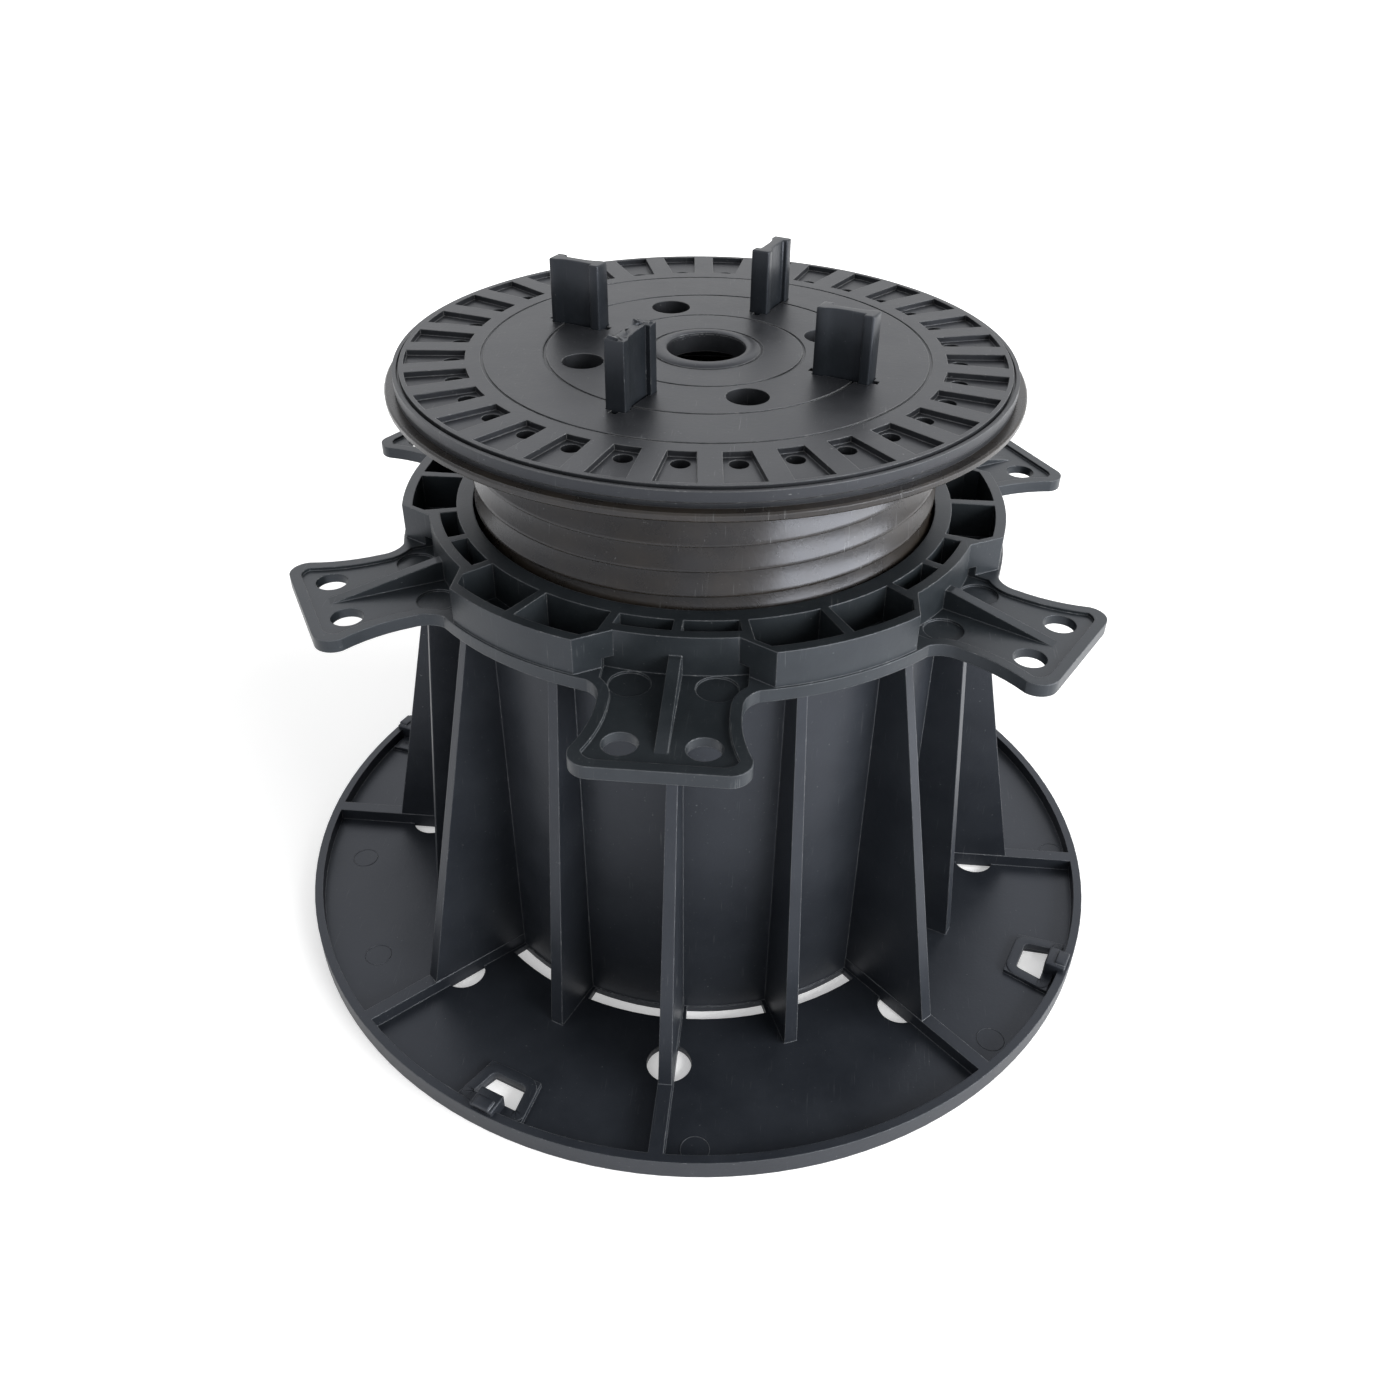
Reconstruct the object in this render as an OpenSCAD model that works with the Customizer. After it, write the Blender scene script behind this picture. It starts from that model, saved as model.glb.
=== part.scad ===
// Height-adjustable pedestal for raised floors: a ribbed base, a bracing ring with six ears,
// a coarse screw stem and a round head plate with four clip-in spacer tabs.
// Millimetres, +Z up. The origin is on the floor at the axis, and one ear points along -Y.

/* [Base plate] */
// Diameter of the base plate
base_d = 200; // [190:1:230]
// Thickness of the base plate
plate_t = 1.6; // [1.2:0.1:3]
// Height of the rim and the low ribs
rim_h = 4.8; // [4:0.1:6]
// Width of the rim
rim_w = 2; // [1.5:0.1:3.5]
// Width of the lip round the opening in the base's floor
floor_lip = 4.5; // [3:0.1:5]

/* [Tube] */
// Height of the tube, which is also the seat of the bracing ring
tube_h = 96; // [85:1:110]
// Wall of the tube
tube_wall = 2.5; // [2.5:0.1:4]
// How much wider the tube is at its foot, on the radius
tube_draft = 0.3; // [0:0.1:3]

/* [Ribs] */
// Number of long ribs, with a short rib between each two
rib_n = 8; // [6:1:10]
// How far a long rib stands out from the tube at its foot
long_rib_foot = 24.4; // [18:0.1:26]
// How far a long rib stands out from the tube at its top
long_rib_top = 5.5; // [5:0.1:8]
// How far a short rib stands out from the tube at its foot
short_rib_foot = 13.2; // [9:0.1:16]
// How far a short rib stands out from the tube at its top
short_rib_top = 5.4; // [3:0.1:7]
// Thickness of a rib at its foot
rib_foot_t = 3; // [2.4:0.1:4]
// Thickness of a rib at its top
rib_top_t = 2.1; // [1.5:0.1:2.4]
// Width of the low ribs that run out to the rim
low_rib_w = 3.2; // [3:0.1:4.5]

/* [Openings of the base] */
// Diameter of the drain holes under the long ribs
drain_d = 10; // [7:0.5:12]
// How far the drain holes lie outside the foot of the tube
drain_offset = 16.4; // [13:0.1:18]
// Radial width of the slits at the foot of the tube
slit_w = 3.5; // [2:0.1:4]
// Angle that each slit spans
slit_angle = 17.7; // [8:0.1:18.5]
// Number of windows near the rim
window_n = 4; // [2:1:4]
// Radial depth of a window
window_depth = 6.3; // [4:0.1:7]
// Width of a window on its outer side
window_outer_w = 12; // [9:0.1:13]
// Width of a window on its inner side
window_inner_w = 8.2; // [5:0.1:10]
// Width of the raised frame round a window
frame_w = 2.3; // [1.2:0.1:3]
// Height of the frame above the plate
frame_h = 1; // [0.6:0.1:1.8]
// Gap between the frame and the rim
frame_gap = 1; // [0.6:0.1:3]
// Width of the latch that joins the frame to the rim
latch_w = 5.5; // [3:0.1:6]
// Height of the latch above the rim
latch_rise = 1.2; // [1:0.1:3]

/* [Bracing ring] */
// Height of the ring
ring_h = 10.4; // [9:0.1:16]
// Thickness of the ring's flange and of its ears
ear_t = 2.7; // [2.4:0.1:5]
// Thickness of the floor under the pockets
ring_floor_t = 2.5; // [2:0.1:3.5]
// Thickness of the wall round the screw
ring_inner_wall = 3.5; // [3:0.1:4.5]
// Radial depth of the large pockets
pocket_depth = 9.3; // [8:0.1:11]
// Radial depth of the small pockets behind the ears
small_pocket_depth = 3.6; // [2.5:0.1:3.8]
// Thickness of the outer wall
ring_outer_wall = 2.2; // [1.6:0.1:3]
// How far the flange stands out from the outer wall
flange_ledge = 0.5; // [0.3:0.1:1.5]
// Length of the spigot that goes down into the tube
spigot_l = 8; // [5:0.5:14]
// Thickness of the webs between pockets
web_t = 1.8; // [1.4:0.1:2.6]

/* [Ears] */
// Number of ears
ear_n = 6; // [4:1:6]
// How far an ear reaches out from the ring's wall
ear_reach = 23.3; // [19:0.1:26]
// Width of an ear at its tip
ear_tip_w = 31.8; // [29:0.1:36]
// Width of an ear at its waist
ear_waist_w = 26.3; // [24:0.1:28]
// Radius of the fillet between an ear and the ring
ear_fillet_r = 6; // [4:0.1:7]
// Radius of the ear's corners
ear_corner_r = 4; // [2:0.1:5]
// Width of the raised border round an ear
border_w = 2.2; // [1.5:0.1:3]
// Depth of the ear's field below its border
field_depth = 0.7; // [0.3:0.1:1]
// Diameter of the two holes in an ear
ear_hole_d = 6.5; // [5:0.1:8]
// Distance between the two holes
ear_hole_spacing = 14.7; // [13:0.1:17]
// Distance from the holes to the ear's tip
ear_hole_inset = 7.6; // [5.5:0.1:9]
// Thickness of the ramped rib on an ear
ear_rib_t = 2.4; // [1.5:0.1:3]
// Height of that rib where it starts at the wall
ear_rib_h = 3.6; // [2:0.1:6]
// Diameter of the two shallow round recesses of an ear
dimple_d = 8; // [5:0.1:9]

/* [Screw stem] */
// Diameter over the crests of the thread
thread_d = 99.6; // [90:0.1:105]
// Depth of the thread
thread_depth = 2.1; // [1.2:0.1:2.4]
// Pitch of the thread
thread_pitch = 5.3; // [4:0.1:8]
// Wall of the stem under the thread
stem_wall = 3; // [2.4:0.1:4]
// Length of the stem from its lower end to the face that carries the head plate
stem_l = 107; // [95:0.1:109]
// Height of the flared neck
neck_h = 3.4; // [2.4:0.1:5]
// Height of the rim that carries the head plate
stem_rim_h = 1.6; // [1.2:0.1:3]
// Width of that rim's face
stem_rim_w = 3.4; // [2.6:0.1:5]

/* [Head plate] */
// Diameter of the head plate
head_d = 126.4; // [122:0.1:140]
// Thickness of the head plate
head_t = 3.7; // [3.2:0.1:5]
// Height of the head's top face above the floor
head_z = 138; // [136:0.5:150]
// Width of the groove round the edge
edge_groove_w = 0.5; // [0.4:0.1:0.8]
// Distance from the edge to that groove
edge_groove_inset = 0.8; // [0.5:0.1:1.2]
// Depth of that groove
edge_groove_depth = 1.2; // [0.5:0.1:1.5]
// Diameter of the central hole
centre_hole_d = 16.4; // [12:0.1:20]
// Width of the collar round the central hole
centre_collar_w = 2.9; // [2:0.1:5]
// Diameter of the four holes round the centre
screw_hole_d = 8.4; // [6:0.1:10]
// Diameter of the circle that those holes lie on
screw_circle_d = 51.8; // [48:0.1:56]
// Number of pockets near the edge
head_pocket_n = 32; // [24:4:32]
// Radial length of a pocket
head_pocket_l = 12.1; // [10:0.1:13]
// Distance from the edge to the pockets
head_pocket_inset = 2.2; // [2:0.1:5]
// Depth of a pocket
head_pocket_depth = 1.2; // [0.6:0.1:2.2]
// Width of the bars between the pockets
head_bar_w = 4.4; // [3:0.1:5]
// Diameter of the small hole in each pocket
pilot_d = 3.6; // [2:0.1:4]
// Distance from a pocket's inner end to its hole
pilot_inset = 2.7; // [2.2:0.1:5]
// Height of the spigot under the plate, inside the stem
head_spigot_h = 14; // [12:0.1:18]
// Wall of that spigot
head_spigot_wall = 2.2; // [1.6:0.1:3]

/* [Spacer tabs] */
// Thickness of a tab's web, which is the joint between two floor slabs
tab_t = 3; // [2:0.1:4]
// Thickness of the flanges at a tab's ends
tab_flange_t = 4.2; // [3.2:0.1:5]
// Radial length of those flanges
tab_flange_l = 2.2; // [1.5:0.1:3]
// Radial length of a tab
tab_l = 11.8; // [11:0.1:14]
// Height of a tab above the head plate
tab_h = 13.3; // [8:0.1:20]
// Distance from the axis to a tab
tab_r = 24.4; // [24:0.1:26]
// Depth of a tab's foot in its slot
tab_foot = 2; // [1:0.1:2.4]
// Length of the release notch at each end of a slot
notch_l = 1.4; // [1:0.1:2]
// Width of that notch
notch_w = 1.6; // [1:0.1:2.4]

/* [Fits] */
// Gap between the thread's crests and the bore of the bracing ring, on the radius
thread_clear = 0.5; // [0.3:0.1:0.8]
// Gap between the ring's spigot and the tube, on the radius
spigot_clear = 0.2; // [0.15:0.05:0.4]
// Gap between the head's spigot and the stem, on the radius
swivel_clear = 0.3; // [0.3:0.05:0.6]
// Gap between a tab and its slot, on each side
tab_clear = 0.1; // [0.08:0.01:0.2]

/* [Hidden] */
$fn = 96;

over = 1;                  // how far a cutter runs past the face it cuts
small_fn = 32;             // facets of small holes
wedge_bulge = 1.2;         // pushes a wedge's middle point out past its arc

base_r = base_d / 2;
thread_r = thread_d / 2;
root_r = thread_r - thread_depth;
stem_bore_r = root_r - stem_wall;

ring_z = tube_h;
ring_bore_r = thread_r + thread_clear;
spigot_r = ring_bore_r + ring_inner_wall;
pocket_r = spigot_r + pocket_depth;
small_pocket_r = spigot_r + small_pocket_depth;
wall_r = pocket_r + ring_outer_wall;
recess_r = small_pocket_r + ring_outer_wall;
flange_r = wall_r + flange_ledge;

tube_in_top = spigot_r + spigot_clear;
tube_out_top = tube_in_top + tube_wall;
tube_in_foot = tube_in_top + tube_draft;
tube_out_foot = tube_out_top + tube_draft;

rib_pitch = 360 / rib_n;
long_foot_r = tube_out_foot + long_rib_foot;
long_top_r = tube_out_top + long_rib_top;
short_foot_r = tube_out_foot + short_rib_foot;
short_top_r = tube_out_top + short_rib_top;
rim_in_r = base_r - rim_w;

drain_r = tube_out_foot + drain_offset;
slit_gap = 0.3;            // from the tube's foot to a slit
slit_in_r = tube_out_foot + slit_gap;
window_out_r = rim_in_r - frame_gap - frame_w;
window_in_r = window_out_r - window_depth;
window_turn = 0.25;        // how far the windows are turned, as a share of their spacing
latch_inset = 0.8;         // from the base's edge to a latch
short_rib_toe = 1.5;       // height of a short rib's outer end above the plate

recess_in_angle = 11.3;    // half angle of an ear's recess at its wall
recess_out_angle = 16.6;   // half angle of the recess where it opens
recess_run = 3;            // how far the recess's cutter runs on at both ends
small_pocket_margin = 0.7; // angle by which the small pockets pass the recess's wall
ear_pitch = 360 / ear_n;
ear_tip_r = wall_r + ear_reach;
fillet_lap = 0.3;          // how far the fillet's circle runs into the flange
ear_waist_r = sqrt(
    pow(flange_r + ear_fillet_r - fillet_lap, 2) - pow(ear_waist_w / 2 + ear_fillet_r, 2)
);
ear_flank_out = 2;         // how far the outward sweep's centre lies outside the fillet's
ear_flank_x = ear_waist_r + ear_flank_out;  // the outward sweep's centre
ear_flank_lap = 0.08;      // how far the sweep's circle runs into the corner's
ear_corner_x = ear_tip_r - ear_corner_r;  // where the tip's corner circles have their centres
ear_step = (ear_tip_w - ear_waist_w) / 2;  // how far the tip stands out past the waist on each side
corner_reach = ear_corner_r - ear_flank_lap;  // the corner circle less that lap
ear_flank_r = (
    pow(ear_corner_x - ear_flank_x, 2) + pow(ear_corner_r - ear_step, 2) - pow(corner_reach, 2)
) / 2 / (corner_reach - ear_corner_r + ear_step);
// where the sweep meets the corner circle
ear_flank_to = ear_corner_x - ear_corner_r * (ear_corner_x - ear_flank_x) / (ear_flank_r + ear_corner_r);
ear_root_in = 4;           // how far an ear's root lies inside the flange
ear_root_lap = 1;          // how far that root overlaps the fillets
ear_rib_lap = 0.6;         // how far the ramped rib runs into the wall
ear_rib_flat = 1.2;        // level top of the ramped rib in front of the wall
ear_rib_end = 2;           // how far the ramped rib passes the holes
ear_hole_r = ear_tip_r - ear_hole_inset;
dimple_inset = 3.6;        // from the recess's wall to a round recess's centre
dimple_r = recess_r + dimple_inset;
dimple_depth = 0.5;
dimple_gap = 2.9;          // from the ramped rib to a round recess
dimple_y = ear_rib_t / 2 + dimple_gap + dimple_d / 2;

head_r = head_d / 2;
seat_z = head_z - head_t;
stem_z = seat_z - stem_l;
rim_z = seat_z - stem_rim_h;
neck_z = rim_z - neck_h;
stem_rim_inset = 0.3;      // from the head's edge to the stem's rim
neck_inset = 1.6;          // from the rim to the neck under its chamfer
rim_chamfer = 0.6;         // half height of that chamfer
rim_step = 0.4;            // height of the step inside the rim
neck_in_rise = 2.2;        // how far the inner flare starts above the outer one
stem_rim_r = head_r - stem_rim_inset;
neck_r = stem_rim_r - neck_inset;
thread_land = 0.4;         // plain root under a turn
thread_undercut = 0.5;     // rise of a turn's lower flank
thread_crest = 0.6;        // flat of a turn's crest
thread_n = floor((neck_z - stem_z) / thread_pitch);

head_pocket_out_r = head_r - head_pocket_inset;
head_pocket_in_r = head_pocket_out_r - head_pocket_l;
pilot_r = head_pocket_in_r + pilot_inset;
head_pitch = 360 / head_pocket_n;
head_step = 0.2;           // how far the edge's lower part is set back
head_step_h = 1;           // height of that part
head_lip_drop = 0.5;       // how far the outer lip lies below the top face
head_spigot_r = stem_bore_r - swivel_clear;
line_in = 6.2;             // from the screw circle in to a line
line_out = 6.8;            // from the screw circle out to a line
line_edge = 3.6;           // from the pockets in to a line
line_radii = [
    centre_hole_d / 2 + centre_collar_w,
    screw_circle_d / 2 - line_in,
    screw_circle_d / 2 + line_out,
    head_pocket_in_r - line_edge
];
line_w = 0.6;
line_depth = 0.3;
tab_angles = [-22.5, 67.5, 157.5, 247.5];
screw_angle = 22.5;

// A flat ring between two radii
module annulus_2d(r_in, r_out) {
    difference() {
        circle(r = r_out);
        circle(r = r_in);
    }
}

// A wedge from the axis out to radius r, between two angles counted from -Y
module wedge_2d(r, from, to) {
    polygon([
        [0, 0],
        [r * sin(from), -r * cos(from)],
        [r * sin((from + to) / 2), -r * cos((from + to) / 2)] * wedge_bulge,
        [r * sin(to), -r * cos(to)]
    ]);
}

// Children drawn outward along +X are turned to point along angle a from -Y
module at_angle(a) {
    rotate([0, 0, a - 90]) children();
}

// A drafted rib: its side outline, thinned from foot to top
module drafted_rib(outline, reach) {
    intersection() {
        rotate([90, 0, 0])
            linear_extrude(height = 2 * rib_foot_t, center = true)
                polygon(outline);
        rotate([90, 0, 90])
            linear_extrude(height = reach)
                polygon([
                    [-rib_foot_t / 2, 0],
                    [rib_foot_t / 2, 0],
                    [rib_top_t / 2, tube_h],
                    [-rib_top_t / 2, tube_h]
                ]);
    }
}

module long_rib() {
    drafted_rib([
        [tube_out_foot - tube_wall / 2, plate_t / 2],
        [long_foot_r, plate_t / 2],
        [long_foot_r, rim_h],
        [long_top_r, tube_h],
        [tube_out_top - tube_wall / 2, tube_h]
    ], base_r);
    translate([tube_out_foot - tube_wall / 2, -low_rib_w / 2, plate_t / 2])
        cube([rim_in_r + rim_w / 2 - tube_out_foot + tube_wall / 2, low_rib_w, rim_h - plate_t / 2]);
}

module short_rib() {
    drafted_rib([
        [tube_out_foot - tube_wall / 2, plate_t / 2],
        [short_foot_r, plate_t / 2],
        [short_foot_r, plate_t + short_rib_toe],
        [short_top_r, tube_h],
        [tube_out_top - tube_wall / 2, tube_h]
    ], base_r);
}

// Outline of a window, grown on every side
module window_2d(grow) {
    polygon([
        [window_in_r - grow, -window_inner_w / 2 - grow],
        [window_out_r + grow, -window_outer_w / 2 - grow],
        [window_out_r + grow, window_outer_w / 2 + grow],
        [window_in_r - grow, window_inner_w / 2 + grow]
    ]);
}

module base() color("#26272a") {
    difference() {
        union() {
            rotate_extrude()
                polygon([
                    [tube_in_foot - floor_lip, 0],
                    [base_r, 0],
                    [base_r, rim_h],
                    [rim_in_r, rim_h],
                    [rim_in_r, plate_t],
                    [tube_in_foot - floor_lip, plate_t]
                ]);
            for (k = [0 : window_n - 1])
                at_angle((k - window_turn) * 360 / window_n) {
                    linear_extrude(height = plate_t + frame_h) window_2d(frame_w);
                    translate([window_out_r, -latch_w / 2, 0])
                        cube([base_r - latch_inset - window_out_r, latch_w, rim_h + latch_rise]);
                }
        }
        for (k = [0 : window_n - 1])
            at_angle((k - window_turn) * 360 / window_n)
                translate([0, 0, -over])
                    linear_extrude(height = rim_h + latch_rise + 2 * over) window_2d(0);
        for (k = [0 : rib_n - 1])
            at_angle(k * rib_pitch)
                translate([drain_r, 0, -over])
                    cylinder(d = drain_d, h = plate_t + 2 * over, $fn = small_fn);
        for (k = [0 : 2 * rib_n - 1])
            at_angle((k + 0.5) * rib_pitch / 2 - slit_angle / 2)
                translate([0, 0, -over])
                    rotate_extrude(angle = slit_angle)
                        translate([slit_in_r, 0])
                            square([slit_w, plate_t + 2 * over]);
    }
    rotate_extrude()
        polygon([
            [tube_in_foot, 0],
            [tube_out_foot, 0],
            [tube_out_top, tube_h],
            [tube_in_top, tube_h],
            [tube_in_top, tube_h - spigot_l - over]
        ]);
    for (k = [0 : rib_n - 1]) {
        at_angle(k * rib_pitch) long_rib();
        at_angle((k + 0.5) * rib_pitch) short_rib();
    }
}

// The step back of the ring's wall behind an ear, grown sideways by a wall's thickness
module recess_2d(grow) {
    inner = [recess_r * cos(recess_in_angle), recess_r * sin(recess_in_angle) + grow];
    outer = [wall_r * cos(recess_out_angle), wall_r * sin(recess_out_angle) + grow];
    slope = (outer - inner) / (outer[0] - inner[0]);
    from = inner - slope * recess_run;
    to = outer + slope * recess_run;
    difference() {
        polygon([[from[0], -from[1]], [to[0], -to[1]], to, from]);
        circle(r = recess_r - grow);
    }
}

// Outline of an ear, drawn outward along +X and drawn in by inset
module ear_2d(inset) {
    half_tip = ear_tip_w / 2 - inset;
    half_waist = ear_waist_w / 2;
    tip = ear_tip_r - inset;
    corner = ear_corner_r - inset / 2;
    difference() {
        union() {
            translate([0, -half_tip]) square([ear_flank_to, 2 * half_tip]);
            translate([0, -half_tip + corner]) square([tip, 2 * (half_tip - corner)]);
            for (s = [-1, 1])
                translate([tip - corner, s * (half_tip - corner)]) circle(r = corner, $fn = small_fn);
            if (inset == 0)
                polygon([
                    [0, 0],
                    [flange_r - ear_root_in, -half_waist - ear_fillet_r + ear_root_lap],
                    [ear_waist_r, -half_waist - ear_root_lap],
                    [ear_waist_r, half_waist + ear_root_lap],
                    [flange_r - ear_root_in, half_waist + ear_fillet_r - ear_root_lap]
                ]);
        }
        for (s = [-1, 1]) {
            translate([ear_waist_r, s * (half_waist + ear_fillet_r)])
                circle(r = ear_fillet_r + inset, $fn = small_fn);
            intersection() {
                translate([ear_flank_x, s * (half_waist + ear_flank_r)])
                    circle(r = ear_flank_r + inset);
                translate([ear_waist_r + fillet_lap, -ear_tip_w]) square([ear_reach, 2 * ear_tip_w]);
            }
        }
    }
}

// What is sunk into an ear: its field, the two bolt holes and the two round recesses
module ear_cuts() {
    translate([0, 0, ear_t - field_depth])
        linear_extrude(height = ear_t)
            difference() {
                ear_2d(border_w);
                circle(r = recess_r);
            }
    for (s = [-1, 1]) {
        translate([ear_hole_r, s * ear_hole_spacing / 2, -over])
            cylinder(d = ear_hole_d, h = ear_t + 2 * over, $fn = small_fn);
        translate([dimple_r, s * dimple_y, ear_t - field_depth - dimple_depth])
            cylinder(d = dimple_d, h = ear_t, $fn = small_fn);
    }
}

module ear_rib() {
    rotate([90, 0, 0])
        linear_extrude(height = ear_rib_t, center = true)
            polygon([
                [recess_r - ear_rib_lap, ear_t / 2],
                [ear_hole_r + ear_rib_end, ear_t / 2],
                [ear_hole_r + ear_rib_end, ear_t - field_depth],
                [recess_r + ear_rib_flat, ear_t + ear_rib_h],
                [recess_r - ear_rib_lap, ear_t + ear_rib_h]
            ]);
}

module ring_pockets_2d() {
    web_angle = asin(web_t / (spigot_r + small_pocket_depth / 2));
    small_to = recess_in_angle + small_pocket_margin;
    for (k = [0 : ear_n - 1], s = [-1, 1])
        rotate(k * ear_pitch) {
            intersection() {
                annulus_2d(spigot_r, small_pocket_r);
                wedge_2d(base_r, s * web_angle / 2, s * small_to);
            }
            difference() {
                intersection() {
                    annulus_2d(spigot_r, pocket_r);
                    wedge_2d(base_r, s * (small_to + web_angle), s * (ear_pitch - web_angle) / 2);
                }
                rotate(-90) recess_2d(ring_outer_wall);
            }
        }
}

module bracing_ring() color("#242528") {
    difference() {
        union() {
            translate([0, 0, ring_z])
                linear_extrude(height = ear_t) {
                    circle(r = flange_r);
                    for (k = [0 : ear_n - 1]) at_angle(k * ear_pitch) ear_2d(0);
                }
            translate([0, 0, ring_z + over])
                linear_extrude(height = ring_h - over)
                    difference() {
                        circle(r = wall_r);
                        for (k = [0 : ear_n - 1]) at_angle(k * ear_pitch) recess_2d(0);
                    }
            translate([0, 0, ring_z - spigot_l]) cylinder(r = spigot_r, h = spigot_l + over);
        }
        translate([0, 0, ring_z - spigot_l - over])
            cylinder(r = ring_bore_r, h = spigot_l + ring_h + 2 * over);
        translate([0, 0, ring_z + ring_floor_t])
            linear_extrude(height = ring_h) ring_pockets_2d();
        for (k = [0 : ear_n - 1])
            at_angle(k * ear_pitch)
                translate([0, 0, ring_z]) ear_cuts();
    }
    for (k = [0 : ear_n - 1])
        at_angle(k * ear_pitch)
            translate([0, 0, ring_z]) ear_rib();
}

// The thread's turns, each a slope that widens downward to a sharp undercut
module screw_stem() color("#2b2a28") {
    thread_turn = [
        [root_r, thread_land],
        [thread_r, thread_land + thread_undercut],
        [thread_r, thread_land + thread_undercut + thread_crest],
        [root_r, thread_pitch]
    ];
    rotate_extrude()
        polygon(concat(
            [[stem_bore_r, stem_z], [root_r, stem_z]],
            [for (k = [0 : thread_n - 1], p = thread_turn) [p[0], stem_z + k * thread_pitch + p[1]]],
            [
                [root_r, neck_z],
                [neck_r, rim_z - rim_chamfer],
                [stem_rim_r, rim_z + rim_chamfer],
                [stem_rim_r, seat_z],
                [stem_rim_r - stem_rim_w, seat_z],
                [stem_rim_r - stem_rim_w, rim_z + rim_step],
                [stem_bore_r, neck_z + neck_in_rise]
            ]
        ));
}

// Plan of a tab: a web between two wider ends, grown on every side
module tab_2d(grow) {
    translate([tab_r - grow, -tab_t / 2 - grow]) square([tab_l + 2 * grow, tab_t + 2 * grow]);
    for (x = [tab_r, tab_r + tab_l - tab_flange_l])
        translate([x - grow, -tab_flange_t / 2 - grow])
            square([tab_flange_l + 2 * grow, tab_flange_t + 2 * grow]);
}

module head_plate() color("#3a3a3b") {
    difference() {
        union() {
            rotate_extrude()
                polygon([
                    [centre_hole_d / 2, seat_z],
                    [head_r - head_step, seat_z],
                    [head_r - head_step, seat_z + head_step_h],
                    [head_r, seat_z + head_step_h + head_step],
                    [head_r, head_z - head_lip_drop],
                    [head_r - edge_groove_inset, head_z - head_lip_drop],
                    [head_r - edge_groove_inset, head_z - edge_groove_depth],
                    [head_r - edge_groove_inset - edge_groove_w, head_z - edge_groove_depth],
                    [head_r - edge_groove_inset - edge_groove_w, head_z],
                    [centre_hole_d / 2, head_z]
                ]);
            translate([0, 0, seat_z - head_spigot_h])
                cylinder(r = head_spigot_r, h = head_spigot_h + over);
        }
        translate([0, 0, seat_z - head_spigot_h - over])
            cylinder(r = head_spigot_r - head_spigot_wall, h = head_spigot_h + over);
        translate([0, 0, seat_z - over])
            cylinder(d = centre_hole_d, h = head_t + 2 * over);
        for (k = [0 : 3])
            at_angle(screw_angle + 90 * k)
                translate([screw_circle_d / 2, 0, seat_z - over])
                    cylinder(d = screw_hole_d, h = head_t + 2 * over, $fn = small_fn);
        translate([0, 0, head_z - head_pocket_depth])
            linear_extrude(height = head_t)
                difference() {
                    annulus_2d(head_pocket_in_r, head_pocket_out_r);
                    for (k = [0 : head_pocket_n - 1])
                        rotate((k + 0.5) * head_pitch)
                            translate([head_pocket_in_r - over, -head_bar_w / 2])
                                square([head_pocket_l + 2 * over, head_bar_w]);
                }
        for (k = [0 : head_pocket_n - 1])
            rotate(k * head_pitch)
                translate([pilot_r, 0, seat_z - over])
                    cylinder(d = pilot_d, h = head_t, $fn = small_fn);
        for (r = line_radii)
            rotate_extrude()
                translate([r, head_z - line_depth])
                    square([line_w, over]);
        for (a = tab_angles)
            at_angle(a)
                translate([0, 0, head_z - tab_foot]) {
                    linear_extrude(height = head_t) tab_2d(tab_clear);
                    translate([tab_r - notch_l, -notch_w / 2, 0])
                        cube([tab_l + 2 * notch_l, notch_w, head_t]);
                }
    }
}

module spacer_tab(index) color("#17181a") {
    at_angle(tab_angles[index - 1])
        translate([0, 0, head_z - tab_foot])
            linear_extrude(height = tab_foot + tab_h) tab_2d(0);
}

base();
bracing_ring();
screw_stem();
head_plate();
spacer_tab(1);  // spacer_tab_1
spacer_tab(2);  // spacer_tab_2
spacer_tab(3);  // spacer_tab_3
spacer_tab(4);  // spacer_tab_4
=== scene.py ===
import math

import bpy
from mathutils import Matrix, Vector


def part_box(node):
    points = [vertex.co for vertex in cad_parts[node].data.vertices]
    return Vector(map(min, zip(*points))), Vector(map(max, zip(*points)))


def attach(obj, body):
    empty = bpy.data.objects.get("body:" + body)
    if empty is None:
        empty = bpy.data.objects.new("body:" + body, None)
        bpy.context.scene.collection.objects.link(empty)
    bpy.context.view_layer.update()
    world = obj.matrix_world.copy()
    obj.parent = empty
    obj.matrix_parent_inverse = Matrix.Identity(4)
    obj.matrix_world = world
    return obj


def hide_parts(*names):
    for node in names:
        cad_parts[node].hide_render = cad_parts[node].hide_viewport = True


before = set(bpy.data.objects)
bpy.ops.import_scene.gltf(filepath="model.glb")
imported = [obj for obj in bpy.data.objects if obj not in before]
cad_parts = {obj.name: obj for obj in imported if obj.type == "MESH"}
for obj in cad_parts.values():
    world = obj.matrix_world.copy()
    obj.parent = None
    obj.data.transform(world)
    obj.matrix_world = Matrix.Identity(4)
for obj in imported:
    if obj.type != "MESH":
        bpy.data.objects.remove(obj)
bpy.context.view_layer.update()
mm = 0.001
print("frame loaded:", len(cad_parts), "nodes")


def colour(hexCode):  # sRGB hex to linear
    channels = [int(hexCode[i:i + 2], 16) / 255 for i in (1, 3, 5)]
    linear = [c / 12.92 if c <= 0.04045 else ((c + 0.055) / 1.055) ** 2.4 for c in channels]
    return linear + [1.0]


def addNode(tree, kind, inputs=None, **settings):  # one node with its settings and links
    node = tree.nodes.new("ShaderNode" + kind)
    for key, value in settings.items():
        setattr(node, key, value)
    for socket, source in (inputs or {}).items():
        if isinstance(source, bpy.types.NodeSocket):
            tree.links.new(source, node.inputs[socket])
        else:
            node.inputs[socket].default_value = source
    return node


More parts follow.
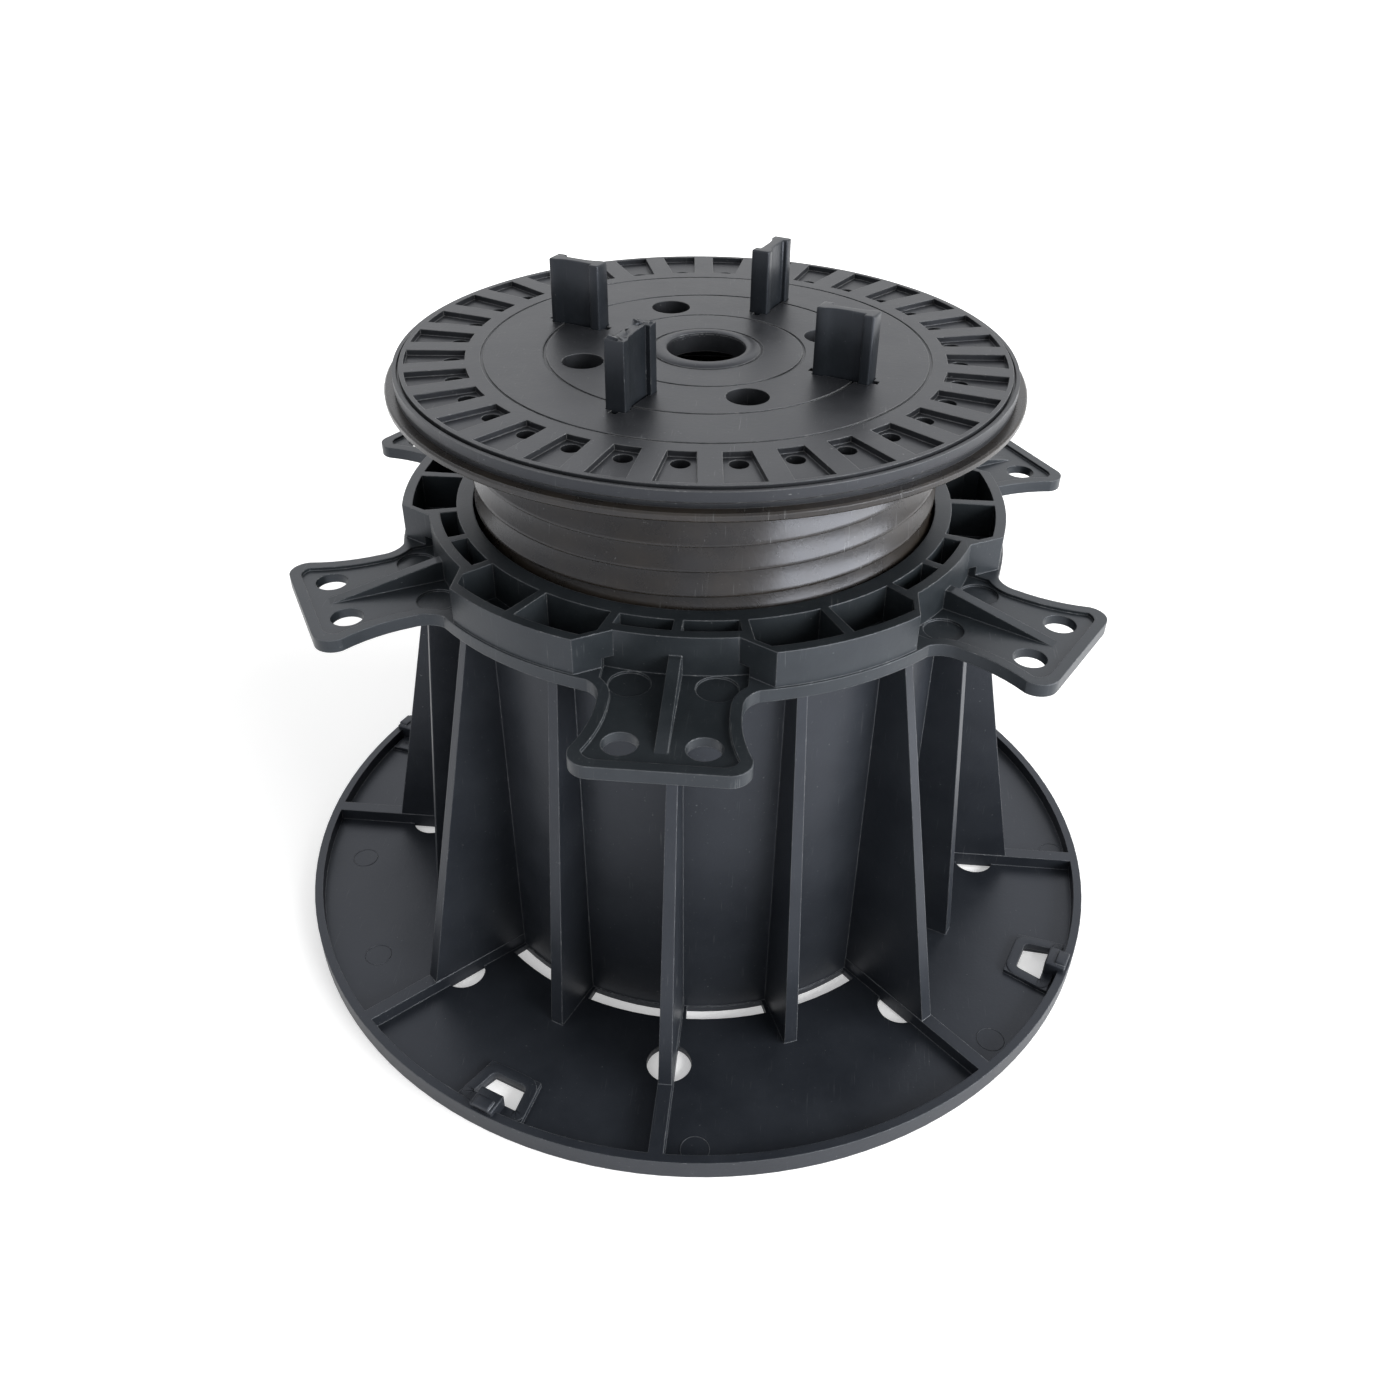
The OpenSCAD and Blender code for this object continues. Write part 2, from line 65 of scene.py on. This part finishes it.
# Camera: a hand-held view from the front, a little to the right, looking down
camera = {
    "place": (20.0 * mm, -245.55 * mm, 230.35 * mm),
    "heading": 4.72,
    "down": 36.44,
    "roll": 0.82,
    "lens": 31.77,
    "sensor": 36,
    "clipStart": 0.01,
}
bpy.ops.object.camera_add()
viewCamera = bpy.context.object
viewCamera.data.lens = camera["lens"]
viewCamera.data.sensor_width = camera["sensor"]
viewCamera.data.clip_start = camera["clipStart"]
viewCamera.matrix_world = (
    Matrix.Translation(camera["place"])
    @ Matrix.Rotation(math.radians(camera["heading"]), 4, "Z")
    @ Matrix.Rotation(math.radians(90 - camera["down"]), 4, "X")
    @ Matrix.Rotation(math.radians(camera["roll"]), 4, "Z")
)
bpy.context.scene.camera = viewCamera
bpy.context.scene.view_settings.view_transform = "Standard"
print("camera placed")


# Studio: a white floor, a broad lamp behind, a wide low one on the right like a window,
# and weak ones in front and on the left
studio = {
    "worldLight": 0.5,
    "floorSize": 12.0,
    "floorColour": "#f4f4f4",
    "floorLiftNear": 0.36,
    "floorLiftFar": 1.0,
    "nearRadius": 0.16,
    "farRadius": 0.55,
    "floorDrop": 0.05,
    "floorRoughness": 0.9,
    "aimHeight": 0.08,
    "lamps": [  # name, place, width and height in metres, power in watts
        ("backLamp", (-0.10, 1.08, 1.17), 1.7, 1.0, 5.7),
        ("windowLamp", (0.90, -0.42, 0.42), 1.1, 0.5, 20.0),
        ("frontLamp", (0.25, -1.3, 0.55), 0.9, 0.6, 1.2),
        ("roomLamp", (-0.9, -0.5, 0.8), 0.7, 0.7, 1.2),
    ],
}


def seenDirectly(tree):  # 1 for camera, glossy and transmission rays
    path = addNode(tree, "LightPath")
    seen = addNode(tree, "Math", {
        0: path.outputs["Is Camera Ray"], 1: path.outputs["Is Glossy Ray"],
    }, operation="MAXIMUM")
    seenThrough = addNode(tree, "Math", {
        0: seen.outputs[0], 1: path.outputs["Is Transmission Ray"],
    }, operation="MAXIMUM")
    return seenThrough.outputs[0]


world = bpy.data.worlds.new("studioWorld")
bpy.context.scene.world = world
world.use_nodes = True
worldTree = world.node_tree
worldStrength = addNode(worldTree, "MapRange", {
    "Value": seenDirectly(worldTree), "To Min": studio["worldLight"], "To Max": 1.0})
background = worldTree.nodes["Background"]
background.inputs["Color"].default_value = colour("#ffffff")
worldTree.links.new(worldStrength.outputs[0], background.inputs["Strength"])

for lampName, place, wide, high, power in studio["lamps"]:
    bpy.ops.object.light_add(type="AREA", location=place)
    light = bpy.context.object
    light.name = lampName
    light.data.shape = "RECTANGLE"
    light.data.size = wide
    light.data.size_y = high
    light.data.energy = power
    light.visible_camera = False
    aim = Vector((0, 0, studio["aimHeight"])) - Vector(place)
    light.rotation_euler = aim.to_track_quat("-Z", "Y").to_euler()

bpy.ops.mesh.primitive_plane_add(
    size=studio["floorSize"], location=(0, 0, -studio["floorDrop"] * mm))
floor = bpy.context.object
floor.name = "floor"
paper = bpy.data.materials.new("whitePaper")
paper.use_nodes = True
paperTree = paper.node_tree
paperShader = paperTree.nodes["Principled BSDF"]
paperShader.inputs["Base Color"].default_value = colour(studio["floorColour"])
paperShader.inputs["Roughness"].default_value = studio["floorRoughness"]
paperShader.inputs["Emission Color"].default_value = colour("#ffffff")
floorPlace = addNode(paperTree, "TexCoord").outputs["Object"]
fromObject = addNode(paperTree, "VectorMath", {0: floorPlace}, operation="LENGTH")
lift = addNode(paperTree, "MapRange", {
    "Value": fromObject.outputs["Value"],
    "From Min": studio["nearRadius"], "From Max": studio["farRadius"],
    "To Min": studio["floorLiftNear"], "To Max": studio["floorLiftFar"]})
shown = addNode(paperTree, "Math", {
    0: lift.outputs[0], 1: seenDirectly(paperTree)}, operation="MULTIPLY")
paperTree.links.new(shown.outputs[0], paperShader.inputs["Emission Strength"])
floor.data.materials.append(paper)
print("studio ready")


# Black polypropylene with recycled content, injection moulded: a satin skin with faint flow
# clouds, pale edges and nicks where it has rubbed, hairline scratches and a little dust.
# Sizes are in mm. A pair says where a noise begins to count and where it counts in full.
moulding = {
    "cloudSpan": (0.32, 0.68), "cloudDetail": 5.0, "cloudRoughness": 0.62,
    "edgeSpan": (0.995, 0.80), "edgeSamples": 4,
    "patchSize": 6, "patchDetail": 3.0,
    "nickSize": 1.3, "nickDetail": 2.0, "nickSpan": (0.60, 0.68),
    "hairTurns": (35, 118), "hairTilt": 0.5, "hairWide": 0.25, "hairLong": 9,
    "hairDetail": 1.0, "hairSpan": (0.70, 0.76), "hairPatchSpan": (0.5, 0.7),
    "speckSize": 0.8, "speckDetail": 2.0, "speckRoughness": 0.7, "speckSpan": (0.70, 0.78),
    "dustColour": "#8d8f90", "glossSpread": 0.08,
    "grainSize": 0.9, "grainDetail": 3.0, "grainRoughness": 0.6,
    "swellSize": 14, "swellDetail": 2.0, "swellShare": 4.0, "reliefDepth": 0.05,
}


def mouldedPolypropylene(name, finish):
    material = bpy.data.materials.new(name)
    material.use_nodes = True
    tree = material.node_tree
    shader = tree.nodes["Principled BSDF"]
    shader.inputs["IOR"].default_value = finish["ior"]
    shader.inputs["Metallic"].default_value = 0.0
    # painted cool light: the Specular Tint gives every reflection a bluish cast that stands in
    # for the cool window light
    shader.inputs["Specular Tint"].default_value = colour(finish["paintedCoolReflection"])
    place = addNode(tree, "TexCoord").outputs["Object"]

    # flow clouds between the two tones of the skin
    clouds = addNode(tree, "TexNoise", {
        "Vector": place, "Scale": 1 / (finish["cloudSize"] * mm),
        "Detail": moulding["cloudDetail"], "Roughness": moulding["cloudRoughness"]})
    cloudFrom, cloudTo = moulding["cloudSpan"]
    cloudMix = addNode(tree, "MapRange", {
        "Value": clouds.outputs[0], "From Min": cloudFrom, "From Max": cloudTo})
    skin = addNode(tree, "Mix", {
        0: cloudMix.outputs[0], 6: colour(finish["dark"]), 7: colour(finish["light"]),
    }, data_type="RGBA")

    # rubbed edges: where the rounded normal leaves the face's own
    rounded = addNode(
        tree, "Bevel", {"Radius": finish["edge"] * mm}, samples=moulding["edgeSamples"])
    flat = addNode(tree, "NewGeometry")
    agree = addNode(tree, "VectorMath", {
        0: rounded.outputs[0], 1: flat.outputs["Normal"]}, operation="DOT_PRODUCT")
    edgeFrom, edgeTo = moulding["edgeSpan"]
    edge = addNode(tree, "MapRange", {
        "Value": agree.outputs["Value"], "From Min": edgeFrom, "From Max": edgeTo})
    patchy = addNode(tree, "TexNoise", {
        "Vector": place, "Scale": 1 / (moulding["patchSize"] * mm),
        "Detail": moulding["patchDetail"]})
    rubbed = addNode(tree, "Math", {
        0: edge.outputs[0], 1: patchy.outputs[0]}, operation="MULTIPLY")
    worn = addNode(tree, "Math", {
        0: rubbed.outputs[0], 1: finish["wear"]}, operation="MULTIPLY")
    wornSkin = addNode(tree, "Mix", {
        0: worn.outputs[0], 6: skin.outputs[2], 7: colour(finish["rub"])}, data_type="RGBA")

    # small pale nicks along the same edges
    nicks = addNode(tree, "TexNoise", {
        "Vector": place, "Scale": 1 / (moulding["nickSize"] * mm),
        "Detail": moulding["nickDetail"]})
    nickFrom, nickTo = moulding["nickSpan"]
    nickMask = addNode(tree, "MapRange", {
        "Value": nicks.outputs[0], "From Min": nickFrom, "From Max": nickTo,
        "To Max": finish["nicks"]})
    nicked = addNode(tree, "Math", {
        0: nickMask.outputs[0], 1: edge.outputs[0]}, operation="MULTIPLY")

    # hairline scratches, two crossing sets, drawn about 0.25 mm wide so that they show
    hairs = []
    hairFrom, hairTo = moulding["hairSpan"]
    for turn in moulding["hairTurns"]:
        lay = addNode(tree, "Mapping", {
            "Vector": place,
            "Rotation": (moulding["hairTilt"], math.radians(turn), math.radians(turn)),
            "Scale": (1 / (moulding["hairWide"] * mm), 1 / (moulding["hairLong"] * mm),
                      1 / (moulding["hairLong"] * mm))})
        streak = addNode(tree, "TexNoise", {
            "Vector": lay.outputs[0], "Scale": 1.0, "Detail": moulding["hairDetail"]})
        hairs.append(addNode(tree, "MapRange", {
            "Value": streak.outputs[0], "From Min": hairFrom, "From Max": hairTo}).outputs[0])
    hair = addNode(tree, "Math", {0: hairs[0], 1: hairs[1]}, operation="MAXIMUM")
    patchFrom, patchTo = moulding["hairPatchSpan"]
    hairPatch = addNode(tree, "MapRange", {
        "Value": patchy.outputs[0], "From Min": patchFrom, "From Max": patchTo,
        "To Max": finish["scratch"]})
    scratch = addNode(tree, "Math", {
        0: hair.outputs[0], 1: hairPatch.outputs[0]}, operation="MULTIPLY")

    # dust specks, drawn coarser than real so that they show
    specks = addNode(tree, "TexNoise", {
        "Vector": place, "Scale": 1 / (moulding["speckSize"] * mm),
        "Detail": moulding["speckDetail"], "Roughness": moulding["speckRoughness"]})
    speckFrom, speckTo = moulding["speckSpan"]
    speckMask = addNode(tree, "MapRange", {
        "Value": specks.outputs[0], "From Min": speckFrom, "From Max": speckTo,
        "To Max": finish["dust"]})
    marked = addNode(tree, "Math", {
        0: speckMask.outputs[0], 1: scratch.outputs[0]}, operation="MAXIMUM")
    pale = addNode(tree, "Math", {
        0: marked.outputs[0], 1: nicked.outputs[0]}, operation="MAXIMUM")
    dusty = addNode(tree, "Mix", {
        0: pale.outputs[0], 6: wornSkin.outputs[2], 7: colour(moulding["dustColour"]),
    }, data_type="RGBA")
    tree.links.new(dusty.outputs[2], shader.inputs["Base Color"])

    gloss = addNode(tree, "MapRange", {
        "Value": clouds.outputs[0],
        "To Min": finish["roughness"] - moulding["glossSpread"],
        "To Max": finish["roughness"] + moulding["glossSpread"]})
    tree.links.new(gloss.outputs[0], shader.inputs["Roughness"])

    # moulded grain of about 0.3 mm, drawn at 0.9 mm so that it shows, on a slow swell
    grain = addNode(tree, "TexNoise", {
        "Vector": place, "Scale": 1 / (moulding["grainSize"] * mm),
        "Detail": moulding["grainDetail"], "Roughness": moulding["grainRoughness"]})
    swell = addNode(tree, "TexNoise", {
        "Vector": place, "Scale": 1 / (moulding["swellSize"] * mm),
        "Detail": moulding["swellDetail"]})
    relief = addNode(tree, "Math", {
        0: swell.outputs[0], 1: moulding["swellShare"], 2: grain.outputs[0],
    }, operation="MULTIPLY_ADD")
    bump = addNode(tree, "Bump", {
        "Strength": finish["grain"], "Distance": moulding["reliefDepth"] * mm,
        "Height": relief.outputs[0], "Normal": rounded.outputs[0]})
    tree.links.new(bump.outputs[0], shader.inputs["Normal"])


# one finish for each moulding: tones (the blue cast of the base, ring and tab tones is painted
# cool light), rubbed tone, painted cool reflection tint, sizes in mm and strengths
finishes = {
    "base": {
        "dark": "#1a1d22", "light": "#23262b", "rub": "#7d8083", "paintedCoolReflection": "#eaf0ff",
        "cloudSize": 16, "edge": 0.35, "ior": 1.42, "roughness": 0.42, "grain": 0.5,
        "wear": 0.9, "nicks": 0.6, "dust": 0.3, "scratch": 0.15},
    "bracing_ring": {
        "dark": "#1c2023", "light": "#262a2d", "rub": "#7d8083", "paintedCoolReflection": "#eaf0ff",
        "cloudSize": 12, "edge": 0.35, "ior": 1.42, "roughness": 0.38, "grain": 0.4,
        "wear": 0.9, "nicks": 0.7, "dust": 0.25, "scratch": 0.2},
    "screw_stem": {
        "dark": "#181512", "light": "#25201a", "rub": "#7b7973", "paintedCoolReflection": "#eef3ff",
        "cloudSize": 9, "edge": 0.3, "ior": 1.43, "roughness": 0.28, "grain": 0.5,
        "wear": 0.5, "nicks": 0.3, "dust": 0.35, "scratch": 0.5},
    "head_plate": {
        "dark": "#17181a", "light": "#212224", "rub": "#858686", "paintedCoolReflection": "#eaf0ff",
        "cloudSize": 9, "edge": 0.3, "ior": 1.45, "roughness": 0.40, "grain": 0.5,
        "wear": 1.0, "nicks": 0.6, "dust": 0.45, "scratch": 0.25},
    "spacer_tab": {
        "dark": "#14171a", "light": "#1b1e22", "rub": "#5d6063", "paintedCoolReflection": "#eaf0ff",
        "cloudSize": 7, "edge": 0.35, "ior": 1.42, "roughness": 0.34, "grain": 0.3,
        "wear": 0.6, "nicks": 0.4, "dust": 0.15, "scratch": 0.1},
}
for finishName, finish in finishes.items():
    mouldedPolypropylene(finishName + "Plastic", finish)
for nodeName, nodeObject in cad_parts.items():
    finishName = "spacer_tab" if nodeName.startswith("spacer_tab") else nodeName
    nodeObject.data.materials.clear()
    nodeObject.data.materials.append(bpy.data.materials[finishName + "Plastic"])
print("CAD nodes dressed")


# How all pieces are made: weld distances and angles
making = {
    "weld": 0.001 * mm,  # for points that coincide
    "seamWeld": 0.01 * mm,  # for the seam of a spin
    "smoothAngle": math.radians(38),  # edges under this are shaded smooth
    "cornerAngle": math.radians(50),  # edges over this are rounded
}


def drawLine(name, points, closed=True):  # a line through points in mm, drawn out of one vertex
    bpy.ops.object.select_all(action="DESELECT")
    start = Vector(points[0]) * mm
    bpy.ops.mesh.primitive_plane_add(size=mm, location=start)
    piece = bpy.context.object
    piece.name = piece.data.name = name
    bpy.ops.object.mode_set(mode="EDIT")
    bpy.ops.mesh.select_mode(type="VERT")
    bpy.ops.mesh.merge(type="CENTER")
    bpy.ops.mesh.select_all(action="SELECT")
    path = [Vector(p) * mm for p in points] + ([start] if closed else [])
    for here, there in zip(path, path[1:]):
        bpy.ops.mesh.extrude_region_move(TRANSFORM_OT_translate={"value": there - here})
    bpy.ops.mesh.select_all(action="SELECT")
    if closed:
        bpy.ops.mesh.remove_doubles(threshold=making["weld"])
    return piece


def applyModifier(piece, kind, **settings):
    modifier = piece.modifiers.new(kind.lower(), kind)
    for key, value in settings.items():
        setattr(modifier, key, value)
    bpy.context.view_layer.objects.active = piece
    bpy.ops.object.modifier_apply(modifier=modifier.name)


def facesOutward():
    bpy.ops.mesh.select_all(action="SELECT")
    bpy.ops.mesh.normals_make_consistent(inside=False)


def spinRound(steps):  # the drawn line turned about the axis into a closed skin
    bpy.ops.mesh.spin(steps=steps, angle=2 * math.pi, center=(0, 0, 0), axis=(0, 0, 1))
    bpy.ops.mesh.select_all(action="SELECT")
    bpy.ops.mesh.remove_doubles(threshold=making["seamWeld"])


def setPiece(piece, finishName, body, turn=0):  # turned in place, shaded smooth, finished and attached to its body
    bpy.ops.object.select_all(action="DESELECT")
    piece.select_set(True)
    bpy.context.view_layer.objects.active = piece
    bpy.ops.object.transform_apply(location=True, rotation=True, scale=True)
    piece.rotation_euler = (0, 0, math.radians(turn))
    bpy.ops.object.transform_apply(location=True, rotation=True, scale=True)
    bpy.ops.object.shade_smooth_by_angle(angle=making["smoothAngle"])
    piece.data.materials.clear()
    piece.data.materials.append(bpy.data.materials[finishName + "Plastic"])
    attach(piece, body)


# Hollow stem: one closed skin, a right-hand buttress thread outside, and the bore, rim and
# flared neck turned from one line. The thread's section is (out from the root, up), in mm.
stem = {
    "bore": 44.7, "root": 47.7, "pitch": 5.3, "threadPhase": 2.46, "steps": 96,
    "thread": [(0.0, 0.0), (0.0, 0.4), (1.9, 0.8), (2.1, 1.0), (2.1, 1.4), (1.95, 1.7),
               (0.0, 5.3)],
    "rimRadius": 65.15, "rimInside": 59.5, "rimHeight": 1.6, "rimStep": 0.4, "rimSoften": 0.35,
    "neckRadius": 61.3, "neckDrop": 0.6, "neckHeight": 3.4, "neckInRise": 2.2,
    "neckStart": 50.2, "neckStartRise": 0.52, "shoulder": 0.9, "shoulderDrop": 0.1,
    "seek": 0.05,
}
stemLow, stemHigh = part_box("screw_stem")
foot, seat = stemLow.z / mm, stemHigh.z / mm
rimFoot = seat - stem["rimHeight"]
neckFoot = rimFoot - stem["neckHeight"]


def openEdges(piece, low, high):  # selects the open edges between two heights, counts points
    bpy.ops.mesh.select_mode(type="EDGE")
    bpy.ops.mesh.select_all(action="DESELECT")
    bpy.ops.mesh.select_non_manifold(
        use_wire=False, use_multi_face=False, use_non_contiguous=False, use_verts=False)
    bpy.ops.object.mode_set(mode="OBJECT")
    vertices = piece.data.vertices
    kept = set()
    for edge in piece.data.edges:
        edge.select = edge.select and all(
            low * mm < vertices[v].co.z < high * mm for v in edge.vertices)
        if edge.select:
            kept.update(edge.vertices)
    for vertex in vertices:
        vertex.select = vertex.index in kept
    for face in piece.data.polygons:
        face.select = False
    bpy.ops.object.mode_set(mode="EDIT")
    return len(kept)


# the thread's skin: one pitch, drawn, wound up, and cut level at the foot and under the neck
threadFoot = foot - 2 * stem["pitch"] + stem["threadPhase"]
threadTurns = math.ceil((neckFoot - threadFoot) / stem["pitch"]) + 1
threadedStem = drawLine("threadedStem", [
    (stem["root"] + out, 0, threadFoot + up) for out, up in stem["thread"]], closed=False)
bpy.ops.object.mode_set(mode="OBJECT")
bpy.ops.object.transform_apply(location=True, rotation=True, scale=True)
applyModifier(
    threadedStem, "SCREW", axis="Z", angle=2 * math.pi, screw_offset=stem["pitch"] * mm,
    iterations=threadTurns, steps=stem["steps"], render_steps=stem["steps"],
    use_merge_vertices=False)
bpy.ops.object.mode_set(mode="EDIT")
bpy.ops.mesh.select_all(action="SELECT")
bpy.ops.mesh.remove_doubles(threshold=making["weld"])
bpy.ops.mesh.bisect(
    plane_co=(0, 0, foot * mm), plane_no=(0, 0, 1), clear_inner=True, threshold=making["weld"])
bpy.ops.mesh.select_all(action="SELECT")
bpy.ops.mesh.bisect(
    plane_co=(0, 0, neckFoot * mm), plane_no=(0, 0, 1), clear_outer=True,
    threshold=making["weld"])
bpy.ops.object.mode_set(mode="OBJECT")

# bore, rim and flared neck, turned from one line
stemLining = drawLine("stemLining", [(r, 0, z) for r, z in [
    (stem["bore"], foot),
    (stem["bore"], neckFoot + stem["neckInRise"]),
    (stem["rimInside"], rimFoot + stem["rimStep"]),
    (stem["rimInside"], seat),
    (stem["rimRadius"] - stem["rimSoften"], seat),
    (stem["rimRadius"], seat - stem["rimSoften"]),
    (stem["rimRadius"], rimFoot + stem["rimSoften"]),
    (stem["rimRadius"] - stem["rimSoften"], rimFoot),
    (stem["neckRadius"] + stem["shoulder"], rimFoot - stem["shoulderDrop"]),
    (stem["neckRadius"], rimFoot - stem["neckDrop"]),
    (stem["neckStart"], neckFoot + stem["neckStartRise"]),
]], closed=False)
spinRound(stem["steps"])
bpy.ops.object.mode_set(mode="OBJECT")
bpy.ops.object.transform_apply(location=True, rotation=True, scale=True)
threadedStem.select_set(True)
bpy.context.view_layer.objects.active = threadedStem
bpy.ops.object.join()
bpy.ops.object.mode_set(mode="EDIT")
footPoints = openEdges(threadedStem, foot - stem["seek"], foot + stem["seek"])
bpy.ops.mesh.bridge_edge_loops()
neckPoints = openEdges(
    threadedStem, neckFoot - stem["seek"], neckFoot + stem["neckStartRise"] + stem["seek"])
bpy.ops.mesh.bridge_edge_loops()
facesOutward()
bpy.ops.mesh.select_all(action="DESELECT")
bpy.ops.mesh.select_non_manifold()
bpy.ops.object.mode_set(mode="OBJECT")
openPoints = sum(vertex.select for vertex in threadedStem.data.vertices)
setPiece(threadedStem, "screw_stem", "screw")
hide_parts("screw_stem")
print("threadedStem:", len(threadedStem.data.polygons), "faces, bridged at", footPoints, "and",
      neckPoints, "points,", openPoints, "left open")


# Collar: a rounded lip about the head's centre hole, its section as (radius, up from the face)
collar = {
    "section": [(8.2, -0.5), (8.2, 0.3), (8.5, 0.5), (9.2, 0.6), (10.0, 0.5), (10.6, 0.28),
                (11.0, 0.0), (11.0, -0.5)],
    "face": 138.0, "steps": 64,
}
centreCollar = drawLine("centreCollar", [
    (radius, 0, collar["face"] + up) for radius, up in collar["section"]])
spinRound(collar["steps"])
facesOutward()
bpy.ops.object.mode_set(mode="OBJECT")
setPiece(centreCollar, "head_plate", "head")
print("centre collar ready")


# Spacer tabs: a web between two flanges, each face deep at one flange and swept out at the
# other, with rough flash along the top of one tab
tab = {
    "radius": 24.4, "length": 11.8, "flangeLength": 2.2, "flangeHalf": 2.1, "webHalf": 1.0,
    "sweep": [(5.9, 1.1), (8.0, 1.3), (9.3, 1.65), (10.1, 2.1)], "soften": 0.35, "taper": 0.96,
    "angles": [-22.5, 67.5, 157.5, 247.5],
    "flashTab": 1, "flashHeight": 0.5, "flashInset": 0.3, "flashEven": 0.2, "flashSeed": 4,
}
tabLow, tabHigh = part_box("spacer_tab_1")
tabFace = [(0.0, tab["flangeHalf"]), (tab["flangeLength"], tab["flangeHalf"]),
           (tab["flangeLength"], tab["webHalf"])]
tabFace += tab["sweep"] + [(tab["length"], tab["flangeHalf"])]
otherFace = [(tab["length"] - x, -y) for x, y in tabFace]
for number, angle in enumerate(tab["angles"], 1):
    spacerTab = drawLine("spacerTab%d" % number, [
        (tab["radius"] + x, y, tabLow.z / mm) for x, y in tabFace + otherFace])
    bpy.ops.mesh.edge_face_add()
    bpy.ops.mesh.extrude_region_move(
        TRANSFORM_OT_translate={"value": (0, 0, tabHigh.z - tabLow.z)})
    bpy.ops.transform.resize(value=(1, tab["taper"], 1), center_override=(0, 0, 0))
    if number == tab["flashTab"]:
        bpy.ops.mesh.inset(thickness=tab["flashInset"] * mm, depth=0)
        bpy.ops.mesh.quads_convert_to_tris()
        bpy.ops.mesh.subdivide(number_cuts=2)
        bpy.ops.transform.vertex_random(
            offset=tab["flashHeight"] * mm, uniform=tab["flashEven"], normal=0.0,
            seed=tab["flashSeed"])
    facesOutward()
    bpy.ops.object.mode_set(mode="OBJECT")
    if number != tab["flashTab"]:
        applyModifier(
            spacerTab, "BEVEL", width=tab["soften"] * mm, segments=3, limit_method="ANGLE",
            angle_limit=making["cornerAngle"])
    setPiece(spacerTab, "spacer_tab", "head", turn=angle - 90)
    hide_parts("spacer_tab_%d" % number)
print("spacer tabs: 4")


# Window frames: a raised border with round corners about each window, and a latch lug beside
# it up to the rim
window = {
    "angles": [-22.5, 67.5, 157.5, 247.5],
    "innerRadius": 86.0, "outerRadius": 97.1, "innerHalf": 6.3, "outerHalf": 8.4,
    "corner": 2.9, "border": 2.5, "foot": 1.0, "top": 2.75, "soften": 0.3,
    "lugFrom": 94.55, "lugTo": 99.35, "lugHalf": 2.88, "lugTop": 6.05, "lugSoften": 0.3,
    "crown": 0.55, "crownLength": 0.55, "crownWidth": 0.7,
}
for number, angle in enumerate(window["angles"], 1):
    windowFrame = drawLine("windowFrame%d" % number, [
        (window["innerRadius"], -window["innerHalf"], window["foot"]),
        (window["outerRadius"], -window["outerHalf"], window["foot"]),
        (window["outerRadius"], window["outerHalf"], window["foot"]),
        (window["innerRadius"], window["innerHalf"], window["foot"])])
    bpy.ops.mesh.edge_face_add()
    bpy.ops.mesh.bevel(
        affect="VERTICES", offset=window["corner"] * mm, segments=5, offset_type="OFFSET")
    bpy.ops.mesh.select_all(action="SELECT")
    bpy.ops.mesh.inset(thickness=window["border"] * mm, depth=0)
    bpy.ops.mesh.delete(type="FACE")
    bpy.ops.mesh.select_all(action="SELECT")
    bpy.ops.mesh.extrude_region_move(
        TRANSFORM_OT_translate={"value": (0, 0, (window["top"] - window["foot"]) * mm)})
    facesOutward()
    bpy.ops.object.mode_set(mode="OBJECT")
    applyModifier(
        windowFrame, "BEVEL", width=window["soften"] * mm, segments=3, limit_method="ANGLE",
        angle_limit=making["cornerAngle"])
    setPiece(windowFrame, "base", "support", turn=angle - 90)

    # the lug: a block with a sloped crown, its edges rounded
    bpy.ops.object.select_all(action="DESELECT")
    bpy.ops.mesh.primitive_cube_add(size=mm, location=(
        (window["lugFrom"] + window["lugTo"]) / 2 * mm, 0,
        (window["foot"] + window["lugTop"]) / 2 * mm))
    latchLug = bpy.context.object
    latchLug.name = latchLug.data.name = "latchLug%d" % number
    latchLug.scale = (window["lugTo"] - window["lugFrom"], 2 * window["lugHalf"],
                      window["lugTop"] - window["foot"])
    bpy.ops.object.transform_apply(location=True, rotation=True, scale=True)
    for face in latchLug.data.polygons:  # the top face only
        face.select = face.normal.z > 0.9
    bpy.ops.object.mode_set(mode="EDIT")
    bpy.ops.mesh.select_mode(type="FACE")
    bpy.ops.mesh.extrude_region_move(
        TRANSFORM_OT_translate={"value": (0, 0, window["crown"] * mm)})
    bpy.ops.transform.resize(
        value=(window["crownLength"], window["crownWidth"], 1),
        center_override=(window["lugTo"] * mm, 0, 0))
    facesOutward()
    bpy.ops.object.mode_set(mode="OBJECT")
    applyModifier(latchLug, "BEVEL", width=window["lugSoften"] * mm, segments=3)
    setPiece(latchLug, "base", "support", turn=angle - 90)
print("window frames: 4")


# Ejector marks: thin raised rings that the pins leave on the plate, at (angle, radius)
ejector = {
    "places": [(-79.5, 88.5), (-56.5, 88.3), (50.5, 93.5), (4.7, 94.6), (93.0, 94.6)],
    "radius": 3.1, "halfWide": 0.2, "rise": 0.12, "plate": 1.6, "sunk": 0.1, "steps": 36,
}
firstMark = drawLine("ejectorMark1", [
    (ejector["radius"] - ejector["halfWide"], 0, ejector["plate"] - ejector["sunk"]),
    (ejector["radius"], 0, ejector["plate"] + ejector["rise"]),
    (ejector["radius"] + ejector["halfWide"], 0, ejector["plate"] - ejector["sunk"])])
spinRound(ejector["steps"])
facesOutward()
bpy.ops.object.mode_set(mode="OBJECT")
bpy.ops.object.transform_apply(location=True, rotation=True, scale=True)
marks = [firstMark]
for number in range(2, len(ejector["places"]) + 1):
    mark = firstMark.copy()
    mark.data = firstMark.data.copy()
    mark.name = mark.data.name = "ejectorMark%d" % number
    bpy.context.collection.objects.link(mark)
    marks.append(mark)
for mark, (angle, radius) in zip(marks, ejector["places"]):
    mark.location.x = radius * mm
    setPiece(mark, "base", "support", turn=angle - 90)
print("ejector marks:", len(marks))
